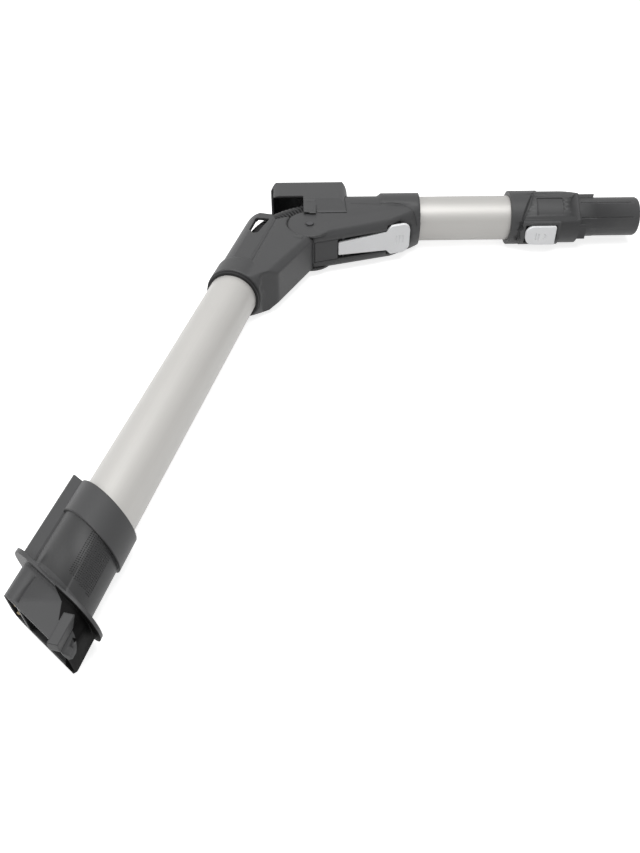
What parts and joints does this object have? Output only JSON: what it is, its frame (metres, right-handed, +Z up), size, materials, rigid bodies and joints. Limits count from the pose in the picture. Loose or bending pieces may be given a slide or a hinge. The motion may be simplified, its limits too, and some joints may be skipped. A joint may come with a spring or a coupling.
{
  "type": "bendable vacuum wand",
  "caption": "Two metal vacuum wand tubes joined by a plastic bending joint with a release lever, with a locking spigot at one end and a flanged connector with electric contacts at the other",
  "frame": {"origin": "bottom centre of the overall box, with the wand lying on its side and bent as in the picture", "axes": "+X along the short tube towards its spigot, +Y towards the outer side of the bend, +Z up, along the hinge pin"},
  "size_m": [0.4608, 0.4837, 0.046],
  "materials": {
    "dark_plastic": "fine matte texture",
    "satin_tube": "satin, brushed along the tube",
    "light_plastic": "satin",
    "black_rubber": "matte",
    "black_plastic": "matte",
    "pin_steel": "satin",
    "contact_brass": "satin"
  },
  "bodies": {
    "upper_wand": {"upper_core": "dark_plastic", "upper_hood": "dark_plastic", "hinge_pin": "pin_steel", "latch_pin": "pin_steel", "lever_cap": "dark_plastic", "lever_pin": "pin_steel", "short_tube": "satin_tube", "end_collar": "dark_plastic", "end_terminal_block": "black_plastic", "end_contact_upper": "contact_brass", "end_contact_lower": "contact_brass", "hose_cuff_upper": "black_plastic", "flex_hose": "black_rubber"},
    "lower_wand": {"yoke_core": "dark_plastic", "yoke_cover": "dark_plastic", "seal_ring": "black_rubber", "long_tube": "satin_tube", "connector_body": "dark_plastic", "terminal_block": "black_plastic", "connector_contact_upper": "contact_brass", "connector_contact_lower": "contact_brass", "hose_cuff_lower": "black_plastic"},
    "release_lever": {"push_lever": "light_plastic"},
    "latch": {"latch_hook": "dark_plastic"},
    "lock_key": {"lock_button": "light_plastic"}
  },
  "joints": [
    {"name": "bend_hinge", "type": "hinge", "parent": "upper_wand", "child": "lower_wand", "pos_m": [-0.0586, 0.16885, 0.023], "axis": [0, 0, 1], "range_deg": [-74.3, 0], "deforming": ["flex_hose"]},
    {"name": "lever_press", "type": "hinge", "parent": "upper_wand", "child": "release_lever", "pos_m": [-0.0306, 0.16279, 0.023], "axis": [0, 0, 1], "range_deg": [0, 2.8], "stiffness_Nm_per_rad": 0.2, "springref_deg": -2.86},
    {"name": "hook_lift", "type": "hinge", "parent": "upper_wand", "child": "latch", "pos_m": [-0.0386, 0.23385, 0.023], "axis": [0, 0, 1], "range_deg": [-11.1, 0]},
    {"name": "lock_press", "type": "slide", "parent": "upper_wand", "child": "lock_key", "axis": [0, 1, 0], "range_m": [0, 0.002], "stiffness_N_per_m": 500, "springref_m": -0.002}
  ],
  "couplings": [
    {"joint": "hook_lift", "follows": "lever_press", "ratio": -3.9286}
  ]
}
